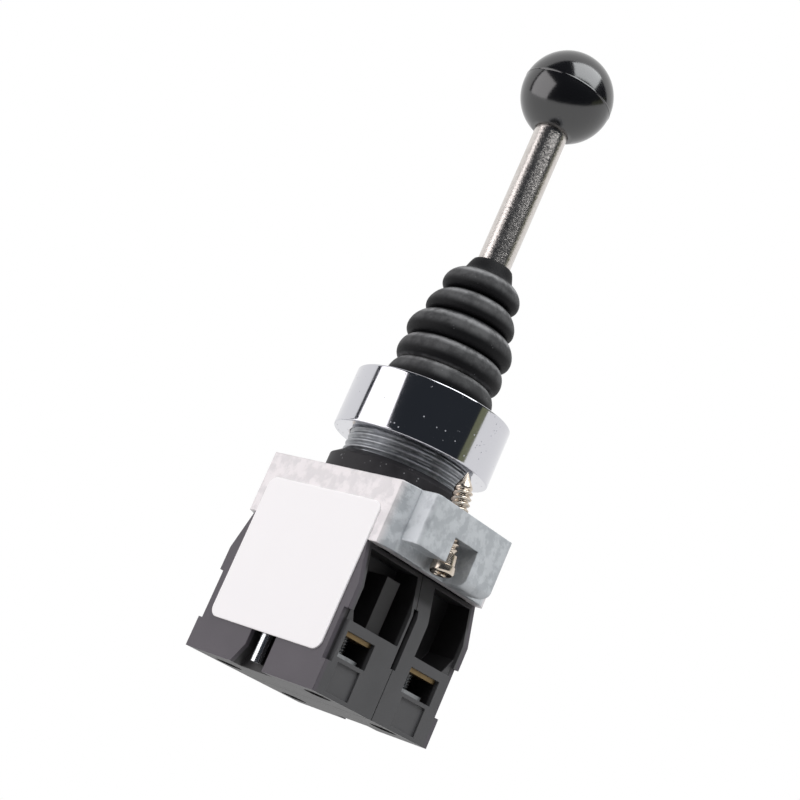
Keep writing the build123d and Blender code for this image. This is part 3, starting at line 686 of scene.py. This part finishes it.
def screw(shank, crest, pitch, cone, collar, head):
    """Grid of a screw along its own Z, from its tip to the middle of its head.

    shank is (low, high) of the thread, crest (outer radius, thread depth), cone its length, collar
    (radius, height) and head (radius, height). The shank's mean radius is r - 0.6 d, and the thread
    adds (wave(z / p - a / turn) - 0.4) d to it.
    """
    angle = np.linspace(0, turn, 72, endpoint=False)[None, :]
    low, high = shank
    outer, depth = crest
    mean = outer - depth * 0.6
    tip = np.array([0, 0.12, 0.3, 0.6, 1.0])[:, None] + 0 * angle
    cone_r, cone_z = tip * mean, high + cone * (1 - tip)
    z = np.arange(high, low, -pitch / 9)[:, None]
    fade = np.clip(np.minimum((high - z) / pitch, (z - low) / pitch), 0, 1)
    thread_r = mean + fade * (thread_wave(z / pitch - angle / turn) - 0.4) * depth
    neck_r, head_r, shoulder = collar[0], head[0], low - collar[1]
    face = shoulder - head[1]
    steps = [(neck_r - collar_edge, low), (neck_r, low - collar_edge), (neck_r, shoulder)]
    steps += [(head_r - head_edge, shoulder), (head_r, shoulder - head_edge), (head_r, face + 0.55)]
    steps += [(head_r - screw_chamfer, face + 0.2), (head_r - 0.5, face)]
    steps = np.array(steps)[:, :, None] + 0 * angle[None]
    disc = np.linspace(head_r - 0.6, 0, 34)[:, None] + 0 * angle
    cross = (head_r * cross_reach, head_r * cross_width, head[1] * cross_sink)
    r = np.concatenate([cone_r, thread_r, steps[:, 0], disc])
    heights = [cone_z, z + 0 * angle, steps[:, 1], face + cross_depth(disc, angle, *cross)]
    return np.stack([r * np.cos(angle), r * np.sin(angle), np.concatenate(heights)], axis=-1)


def placed(points, x, y, z=0.0, tilt=0.0, half_turn=False):
    """Points tilted about Y, moved to a place in mm and, if asked, turned half round the lever axis."""
    turn_y = np.array(Matrix.Rotation(tilt, 3, "Y"))
    moved = points @ turn_y.T + np.array([x, y, z])
    return moved * np.array([-1, -1, 1] if half_turn else [1, 1, 1]) * MM


fixing_tilt, fixing_place = math.radians(-11), (23.8, -2.9, base_high.z / MM)
fixing_head = {"collar": (2.55, 2.6), "head": (2.78, 1.9)}
fixing = screw(shank=(-9.8, 6.2), crest=(2.3, 0.6), pitch=1.35, cone=3.6, **fixing_head)
fixing_pair = [placed(fixing, *fixing_place, fixing_tilt, half) for half in (False, True)]
fixing_screws = joined("fixing_screws_threaded", [skin("screw", points) for points in fixing_pair])
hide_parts("fixing_screws")
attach(fixing_screws, "housing")
print("fixing screws:", len(fixing_screws.data.polygons), "faces")

# %% [markdown]
# The terminal screws are shorter, and their heads are reached with a driver from the foot of the
# blocks. They are the same kind of screw, so the same function makes them.

# %% Terminal screws
clamp_level, terminal_length = block_low.z / MM + 8.5, 7.0
terminal_shank = (clamp_level, clamp_level + terminal_length)
terminal_head = {"collar": (1.6, 0.02), "head": (2.9, 2.38)}
terminal = screw(terminal_shank, crest=(1.58, 0.3), pitch=0.7, cone=0.1, **terminal_head)
terminal_set = []
for x, y in ((16.2, -12.35), (-16.2, -10.15)):
    terminal_set += [placed(terminal, x, y, half_turn=half) for half in (False, True)]
terminal_screws = joined("terminal_screws_threaded", [skin("screw", points) for points in terminal_set])
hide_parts("terminal_screws")
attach(terminal_screws, "housing")
print("terminal screws:", len(terminal_screws.data.polygons), "faces")

# %% [markdown]
# The contact springs are wire wound into a coil. A tube follows the helix: at each point of the wire,
# a small circle stands square to it. Each coil fills the height of the imported spring it replaces.

# %% Contact springs
spring_radius, spring_wire, spring_turns = 3.0, 0.35, 6


def coil(x, y, low, high):
    """Grid of a wire: the helix (R cos a, R sin a, z) with a circle of the wire's radius about it."""
    a = np.linspace(0, spring_turns * turn, spring_turns * 40)[:, None]
    round_wire = np.linspace(0, turn, 10, endpoint=False)[None, :]
    z = low + (high - low) * a / a.max() + spring_wire * np.sin(round_wire)
    reach = spring_radius + spring_wire * np.cos(round_wire)
    points = np.stack([x + reach * np.cos(a), y + reach * np.sin(a), z], axis=-1)
    ends = points.mean(axis=1, keepdims=True) + 0 * points
    return np.concatenate([ends[:1], points, ends[-1:]]) * MM


springs = []
for side, body in (("left", "left_plunger"), ("right", "right_plunger")):
    low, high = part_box("contact_spring_" + side)
    middle = (low + high) / 2 / MM
    wire_low, wire_high = low.z / MM + spring_wire, high.z / MM - spring_wire
    spring = skin("coil_spring_" + side, coil(middle.x, middle.y, wire_low, wire_high))
    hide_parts("contact_spring_" + side)
    foot, head = ((middle.x * MM, middle.y * MM, end.z) for end in (low, high))
    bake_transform(spring)
    springs.append(spring)
print("springs:", len(springs))

# %% [markdown]
# ## Finishes
# Chrome is a bare mirror with a little dust on it. Dust is not metal, so the specks lower the
# metallic value and raise the roughness where they lie.

# %% Chrome
chrome = Finish("polished_chrome", IOR=1.5)
dust = specks(chrome, 1.1, 0.36, 0.45) * step(chrome, noise(chrome, 4.0), 0.44, 0.52)
haze = noise(chrome, 6.0, 4)
chrome.surface(
    Base_Color=mix(chrome, dust, (0.60, 0.60, 0.635), (0.42, 0.43, 0.47)),
    Metallic=1 - dust,
    Roughness=0.05 + haze * 0.07 + dust * 0.5,
)
paint(chrome, ring_nut)
print("chrome on", ring_nut.name)

# %% [markdown]
# The rod is nickel plate over turned steel: bright, a little warm, and slightly pitted, so its
# reflections break into fine grains.

# %% Nickel plate
nickel = Finish("nickel_plate", Metallic=1.0)
pits = noise(nickel, 0.6, 3, roughness=0.7)
cloud = noise(nickel, 3.0)
nickel.surface(
    Base_Color=mix(nickel, pits * 0.7 + cloud * 0.3, (0.42, 0.385, 0.36), (0.84, 0.80, 0.77)),
    Roughness=0.12 + pits * 0.24,
    Normal=relief(nickel, pits, 0.05),
)
paint(nickel, rod)
stained = clouded_metal("screw_nickel", 1.2, 3, (0.46, 0.37, 0.29), (0.76, 0.70, 0.62), 0.16, 0.15)
paint(stained, fixing_screws)
print("nickel on the rod and the fixing screws")

# %% [markdown]
# Die-cast zinc is grey and cloudy. The skin of the casting has chill marks and small pits. Its long
# sides are painted lighter, as painted light where the left light falls, and its ears darker, as
# painted shade. The corners are never sharp, so the finish rounds them in the shading.

# %% Cast zinc
zinc = Finish("cast_zinc_skin", Metallic=0.35)
clouds = noise(zinc, 7.0, 4, roughness=0.55)
chill = step(zinc, noise(zinc, 3.2, 4, roughness=0.6), 0.42, 0.60)
pit = noise(zinc, 0.5, 2)
ear_start, ear_full = 21.3 * MM, 22.3 * MM
ear = step(zinc, coordinate(zinc, "X").math("ABSOLUTE"), ear_start, ear_full)
# Painted light on the long sides and painted shade on the ears: a lit and a shaded copy of the zinc
# colour.
lit_side_zinc = mix(zinc, clouds * 0.5 + chill * 0.5, (0.61, 0.59, 0.60), (0.87, 0.83, 0.84))
dull_zinc_and_ear_shade = mix(zinc, clouds * 0.6 + chill * 0.4, (0.37, 0.395, 0.42), (0.71, 0.735, 0.76))
zinc.surface(
    Base_Color=mix(zinc, ear, lit_side_zinc, dull_zinc_and_ear_shade),
    Roughness=0.38 + clouds * 0.18 + chill * 0.08,
    Normal=relief(zinc, chill * 0.5 + pit * 0.25 + clouds * 0.5, 0.08, 0.35),
)
paint(zinc, "mounting_base")
raw_zinc = Finish("raw_zinc_thread", Metallic=0.9)
rub = noise(raw_zinc, 1.6, 4)
raw_zinc.surface(
    Base_Color=mix(raw_zinc, rub, (0.16, 0.17, 0.18), (0.48, 0.49, 0.51)),
    Roughness=0.26 + rub * 0.2,
    Normal=relief(raw_zinc, rub, 0.04),
)
paint(raw_zinc, neck, "rocker", "boot_clamp_washer")
print("zinc on the base, the neck and the rocker")

# %% [markdown]
# The boot and the seal are black rubber, matt and finely textured. Rubber picks up pale dust in specks.
# On the boot the upper side of each fold is painted lighter, as painted light from above: a wide band
# and a narrow brighter one inside it, patchy like dust.

# %% Rubber
rubber = Finish("boot_rubber", Specular_IOR_Level=0.14)
skin_grain = noise(rubber, 0.30)
bloom = noise(rubber, 4.0, 5, roughness=0.65)
height = coordinate(rubber, "Z")


def band(low, high, soft):
    """1 where the boot's height is between low and high, with soft edges, all in mm."""
    rise = step(rubber, height, (low - soft) * MM, (low + soft) * MM)
    return rise * (1 - step(rubber, height, (high - soft) * MM, (high + soft) * MM))


# Painted light: a lighter band on the upper side of each fold, with a narrower painted highlight inside
# it, where light from above falls.
fold_light_band, fold_highlight_band = 0, 0
for _, crest in fold_crests:
    fold_light_band = fold_light_band + band(crest - 0.6, crest + 2.6, 0.9)
    fold_highlight_band = fold_highlight_band + band(crest + 1.7, crest + 2.8, 0.6)
patchy = step(rubber, bloom, 0.36, 0.62)
boot_dust = specks(rubber, 0.9, 0.22, 0.30) * step(rubber, bloom, 0.35, 0.65)
fold_light_and_dust = fold_light_band * (0.15 + patchy * 0.17) + fold_highlight_band * (0.25 + patchy * 0.60) + boot_dust * 0.6
rubber.surface(
    Base_Color=mix(rubber, fold_light_and_dust, (0.006, 0.006, 0.007), (0.24, 0.24, 0.245)),
    Roughness=0.48 + skin_grain * 0.2,
    Normal=relief(rubber, skin_grain * 0.5 + bloom * 0.5, 0.06),
)
paint(rubber, boot)
gasket = Finish("seal_rubber", Specular_IOR_Level=0.22)
film = noise(gasket, 4.0, 4)
grit = specks(gasket, 1.1, 0.34, 0.45) * step(gasket, film, 0.44, 0.52)
gasket.surface(
    Base_Color=mix(gasket, film * 0.12 + grit * 0.88, (0.007, 0.006, 0.008), (0.22, 0.22, 0.23)),
    Roughness=0.45 + film * 0.15,
    Normal=relief(gasket, film, 0.02, 0.2),
)
paint(gasket, "panel_seal")
print("rubber on the boot and the seal")

# %% [markdown]
# The knob is glossy black thermoset, polished by the mould. A faint unevenness keeps its highlights
# from looking drawn.

# %% Knob plastic
thermoset = Finish("glossy_knob", Base_Color=(0.005, 0.005, 0.006), IOR=1.52, Specular_IOR_Level=0.95)
ripple = noise(thermoset, 4.0)
thermoset.surface(Roughness=0.12 + ripple * 0.07, Normal=relief(thermoset, ripple, 0.03))
paint(thermoset, knob)
print("gloss on the knob")

# %% [markdown]
# The contact blocks are dark grey moulded plastic with a fine spark-eroded texture. The grain is too
# small to see as bumps, but it spreads the highlights, and the corners are slightly round. The long
# sides are painted a little lighter and warmer than the ends, as painted light from the left, and the
# hollows are painted darker than both, as painted shade.

# %% Moulded plastic
moulding = Finish("dark_moulded_plastic", IOR=1.5)
spark = noise(moulding, 0.18, 2)
flow = noise(moulding, 9.0)
out_x, out_y = (coordinate(moulding, axis).math("ABSOLUTE") for axis in "XY")
end_x, side_y = block_high.x, -block_low.y
# Painted light: the long sides get a lighter, warmer colour. Painted shade: the hollows inside the blocks
# are near black.
side = step(moulding, out_y, side_y - 1.3 * MM, side_y - 0.9 * MM)
painted_hollow_shade = (1 - step(moulding, out_x, end_x - 1.4 * MM, end_x - 0.8 * MM)) * (1 - side)
print("block reaches x", round(end_x / MM, 2), "and y", round(side_y / MM, 2), "mm")
end_colour = mix(moulding, flow, (0.054, 0.054, 0.057), (0.082, 0.081, 0.085))
lit_side_colour = mix(moulding, flow, (0.062, 0.054, 0.066), (0.090, 0.079, 0.094))
outer_colour = mix(moulding, side, end_colour, lit_side_colour)
moulding.surface(
    Base_Color=mix(moulding, painted_hollow_shade, outer_colour, (0.013, 0.012, 0.013)),
    Roughness=0.42 + spark * 0.16,
    Normal=relief(moulding, spark, 0.012, 0.22),
)
paint(moulding, "contact_block_left", "contact_block_right", "block_cover_left", "block_cover_right")
pale_plastic = Finish("pale_plunger_plastic", IOR=1.5)
wear = noise(pale_plastic, 2.0)
pale_plastic.surface(
    Base_Color=mix(pale_plastic, wear, (0.55, 0.54, 0.50), (0.66, 0.65, 0.61)),
    Roughness=0.4 + wear * 0.15,
)
paint(pale_plastic, "plunger_left", "plunger_right")
print("plastic on the blocks, covers and plungers")

# %% [markdown]
# The label is a bare plate of thin white plastic with a faint pink cast. It has nothing printed on
# it, only the slight unevenness of a sheet that has been rubbed flat. Its outline is a rectangle with
# round corners, and its front edge is slightly broken.

# %% Bare label
plate_low, plate_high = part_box("label_plate")
plate_left, plate_right, plate_corner = -18.2, 18.7, 2.3
plate_bottom, plate_top = block_low.z / MM + 8.0, block_low.z / MM + 42.3


def round_rectangle(inset, depth):
    """Ring of points at a depth: four quarter circles of radius corner - inset."""
    around = np.linspace(0, turn / 4, 9)
    ring = []
    for quarter in range(4):
        angle = around + quarter * turn / 4
        x = plate_right - plate_corner if quarter in (0, 3) else plate_left + plate_corner
        z = plate_top - plate_corner if quarter in (0, 1) else plate_bottom + plate_corner
        across, rise = (plate_corner - inset) * np.cos(angle), (plate_corner - inset) * np.sin(angle)
        ring.append(np.stack([x + across, depth + 0 * angle, z + rise], axis=-1))
    return np.concatenate(ring)


front_y, back_y = plate_low.y / MM, plate_high.y / MM
border = [(0.9, 0), (0.3, 0), (0.15, 0), (0.04, 0.03), (0, 0.12), (0, back_y - front_y)]
rings = [round_rectangle(inset, front_y + depth) for inset, depth in border]
centre = np.array([(plate_left + plate_right) / 2, 0, (plate_bottom + plate_top) / 2])
caps = [np.tile(centre + [0, depth, 0], (len(rings[0]), 1)) for depth in (front_y, back_y)]
plate = skin("bare_label", np.stack([caps[0], *rings, caps[1]]) * MM)
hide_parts("label_plate")
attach(plate, "housing")
label = Finish("bare_label", IOR=1.45)
sheet = noise(label, 8.0)
label.surface(
    Base_Color=mix(label, sheet, (0.97, 0.945, 0.957), (0.99, 0.97, 0.98)),
    Roughness=0.45 + sheet * 0.1,
    Normal=relief(label, sheet, 0.02, 0.1),
)
paint(label, plate)
print("label painted")

# %% [markdown]
# The small metal parts inside are brass plates, silver tips and spring steel. Each gets its own
# colour and a light cloud of tarnish, so that they read as different metals.

# %% Brass, silver and steel
brass = clouded_metal("brass_strip", 1.5, 3, (0.11, 0.075, 0.038), (0.27, 0.195, 0.10), 0.30, 0.2)
silver = clouded_metal("silver_tip", 0.8, 3, (0.72, 0.71, 0.69), (0.92, 0.91, 0.89), 0.2, 0.15)
steel = clouded_metal("zinc_plated_steel", 2.0, 3, (0.62, 0.64, 0.66), (0.84, 0.86, 0.88), 0.16, 0.16)
dull_zinc_and_ear_shade = clouded_metal("dull_zinc_plate", 1.0, 4, (0.10, 0.105, 0.11), (0.36, 0.37, 0.38), 0.25, 0.2)
paint(brass, "terminal_plates", "contact_bridge_left", "contact_bridge_right")
paint(silver, "fixed_contact_tips", "bridge_tips_left", "bridge_tips_right")
paint(steel, "block_screws", "pivot_pin", "lock_nut", "centring_springs", *springs)
paint(dull_zinc_and_ear_shade, terminal_screws, "terminal_clamps")
print("brass, silver and steel painted")
